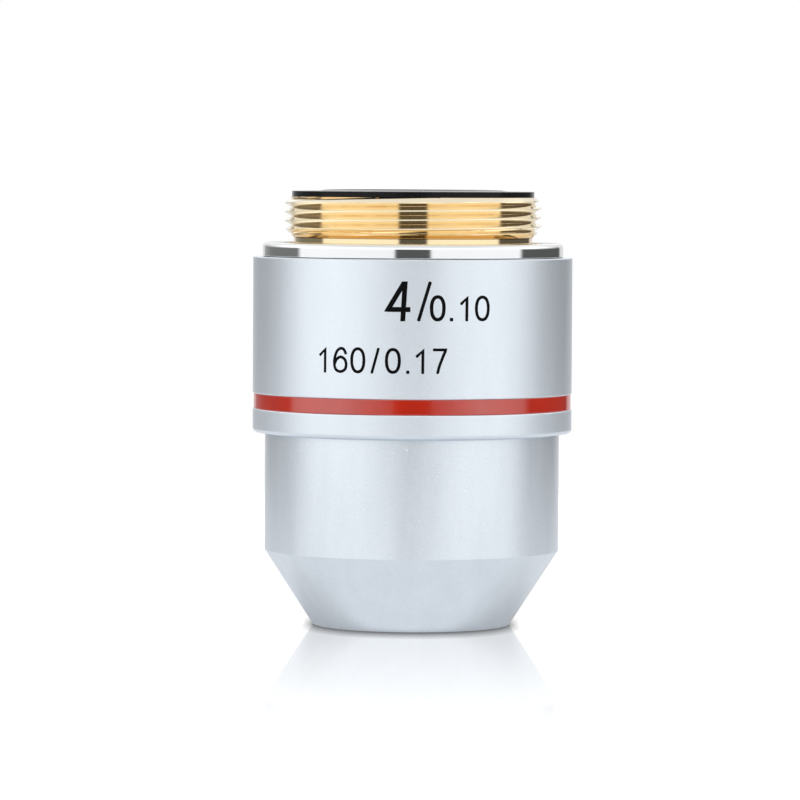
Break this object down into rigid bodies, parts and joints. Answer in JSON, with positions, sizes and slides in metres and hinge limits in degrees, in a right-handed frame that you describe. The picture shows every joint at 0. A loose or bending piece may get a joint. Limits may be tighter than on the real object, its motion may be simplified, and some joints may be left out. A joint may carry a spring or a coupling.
{
  "type": "microscope objective",
  "caption": "Low-power microscope objective: turned chrome body with a standard mounting thread, red colour band and conical nose, holding a lens train in screwed cells.",
  "frame": {"origin": "centre of the shoulder's seating plane, on the optical axis", "axes": "+Z along the optical axis from the front lens to the mounting thread, towards the eyepiece; X and Y lie in the shoulder's plane, and -Y is the side with the figures"},
  "size_m": [0.0252, 0.0252, 0.0344],
  "materials": {
    "mount_brass": "bare machined thread, bright plated flange",
    "satin_chrome": "fine satin plating",
    "red_enamel": "enamel fill, semi-gloss",
    "black_anodised": "black anodised, semi-matt",
    "blackened_brass": "chemically blackened, matt",
    "crown_glass": "polished and coated, blackened edge",
    "flint_glass": "polished and coated, blackened edge"
  },
  "bodies": {
    "root": {"mount_body": "mount_brass", "outer_sleeve": "satin_chrome", "magnification_band": "red_enamel", "nose_barrel": "satin_chrome", "rear_ring": "black_anodised", "lens_tube": "blackened_brass", "parfocal_lock_ring": "blackened_brass", "stack_retaining_ring": "blackened_brass", "front_cell": "blackened_brass", "front_lens": "crown_glass", "front_lens_retainer": "blackened_brass", "middle_cell": "blackened_brass", "meniscus_flint_lens": "flint_glass", "meniscus_crown_lens": "crown_glass", "middle_lens_retainer": "blackened_brass", "aperture_stop": "black_anodised", "rear_spacer": "black_anodised", "rear_cell": "blackened_brass", "rear_crown_lens": "crown_glass", "rear_flint_lens": "flint_glass", "rear_lens_retainer": "blackened_brass"}
  },
  "joints": []
}
